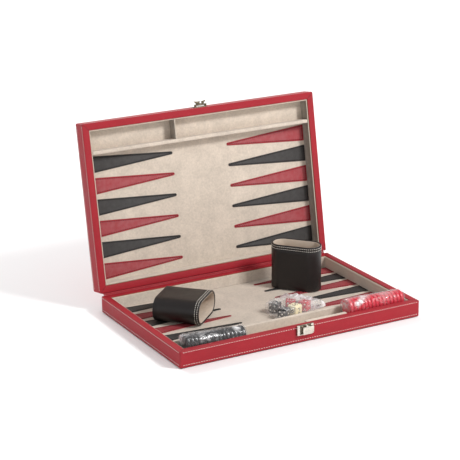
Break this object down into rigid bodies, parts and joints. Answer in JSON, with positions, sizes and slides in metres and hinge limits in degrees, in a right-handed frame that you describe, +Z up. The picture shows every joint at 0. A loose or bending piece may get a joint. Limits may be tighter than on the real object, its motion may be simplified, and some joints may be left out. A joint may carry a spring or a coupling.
{
  "type": "backgammon case",
  "caption": "Folding leather-covered backgammon case, open, with suede lining, sewn points, dice cups, checkers and dice.",
  "frame": {"origin": "centre of the case's underside, on the surface it stands on", "axes": "+X along the long side to the player's right, -Y towards the player and the latch, +Z up"},
  "size_m": [0.38, 0.3175, 0.276],
  "materials": {
    "red_leather": "red grained leatherette, satin",
    "charcoal_leather": "charcoal grained leatherette, satin",
    "suede": "beige microsuede, matt",
    "cup_leather": "dark brown leather, satin",
    "board": "raw board",
    "backing": "black backing sheet",
    "nickel": "nickel plate",
    "black_checker": "polished",
    "red_checker": "polished",
    "black_die": "polished",
    "red_die": "polished",
    "ivory": "polished",
    "clear_film": "clear film"
  },
  "bodies": {
    "base": {"base_cover": "red_leather", "base_floor_lining": "suede", "base_frame": "board", "base_latch_block": "suede", "base_panel": "board", "base_point_left_1": "charcoal_leather", "base_point_left_2": "red_leather", "base_point_left_3": "charcoal_leather", "base_point_left_4": "red_leather", "base_point_left_5": "charcoal_leather", "base_point_left_6": "red_leather", "base_point_right_1": "red_leather", "base_point_right_2": "charcoal_leather", "base_point_right_3": "red_leather", "base_point_right_4": "charcoal_leather", "base_point_right_5": "red_leather", "base_point_right_6": "charcoal_leather", "base_rail": "suede", "base_underside": "backing", "base_wall_lining": "suede", "hinge_flap_base": "red_leather", "latch_case": "nickel", "latch_plate": "nickel"},
    "hinge": {"hinge_bead": "red_leather"},
    "lid": {"hasp_leaf": "nickel", "hasp_pin": "nickel", "hinge_flap_lid": "red_leather", "lid_cover": "red_leather", "lid_divider": "suede", "lid_floor_lining": "suede", "lid_frame": "board", "lid_panel": "board", "lid_point_left_1": "red_leather", "lid_point_left_2": "charcoal_leather", "lid_point_left_3": "red_leather", "lid_point_left_4": "charcoal_leather", "lid_point_left_5": "red_leather", "lid_point_left_6": "charcoal_leather", "lid_point_right_1": "charcoal_leather", "lid_point_right_2": "red_leather", "lid_point_right_3": "charcoal_leather", "lid_point_right_4": "red_leather", "lid_point_right_5": "charcoal_leather", "lid_point_right_6": "red_leather", "lid_rail": "suede", "lid_wall_lining": "suede"},
    "hasp": {"hasp_plate": "nickel"},
    "latch_button": {"latch_slider": "nickel"},
    "standing_cup": {"standing_cup_shell": "cup_leather", "standing_cup_lining": "suede"},
    "lying_cup": {"lying_cup_shell": "cup_leather", "lying_cup_lining": "suede"},
    "black_checkers": {"checker_stack_black": "black_checker"},
    "red_checkers": {"checker_stack_red": "red_checker"},
    "dice": {"dice_bag": "clear_film", "die_black_1": "black_die", "die_black_2": "black_die", "die_red_1": "red_die", "die_red_2": "red_die", "doubling_cube": "ivory"}
  },
  "joints": [
    {"name": "case_opens_flat", "type": "hinge", "parent": "base", "child": "hinge", "pos_m": [0, 0.1236, 0.0252], "axis": [-1, 0, 0], "range_deg": [0, 80]},
    {"name": "lid_closes", "type": "hinge", "parent": "hinge", "child": "lid", "pos_m": [0, 0.1236, 0.0252], "axis": [-1, 0, 0], "range_deg": [-100, 0]},
    {"name": "hasp_swings", "type": "hinge", "parent": "lid", "child": "hasp", "pos_m": [0, 0.17006, 0.27026], "axis": [-1, 0, 0], "range_deg": [-90, 60]},
    {"name": "latch_button_slides", "type": "slide", "parent": "base", "child": "latch_button", "axis": [-1, 0, 0], "range_m": [0, 0.0042], "stiffness_N_per_m": 60},
    {"name": "black_checkers_lift_out", "type": "slide", "parent": "base", "child": "black_checkers", "axis": [0, 0, 1], "range_m": [0, 0.06]},
    {"name": "red_checkers_lift_out", "type": "slide", "parent": "base", "child": "red_checkers", "axis": [0, 0, 1], "range_m": [0, 0.06]},
    {"name": "lying_cup_lifts_out", "type": "slide", "parent": "base", "child": "lying_cup", "axis": [0, 0, 1], "range_m": [0, 0.08]},
    {"name": "standing_cup_lays_down", "type": "hinge", "parent": "base", "child": "standing_cup", "pos_m": [0.08059, 0.04345, 0.0074], "axis": [0.6428, -0.766, 0], "range_deg": [0, 90]},
    {"name": "dice_bag_moves_aside", "type": "slide", "parent": "base", "child": "dice", "axis": [-1, 0, 0], "range_m": [0, 0.056]}
  ],
  "couplings": [
    {"joint": "standing_cup_lays_down", "follows": "lid_closes", "ratio": -0.9},
    {"joint": "dice_bag_moves_aside", "follows": "lid_closes", "m_per_rad": -0.031513}
  ]
}
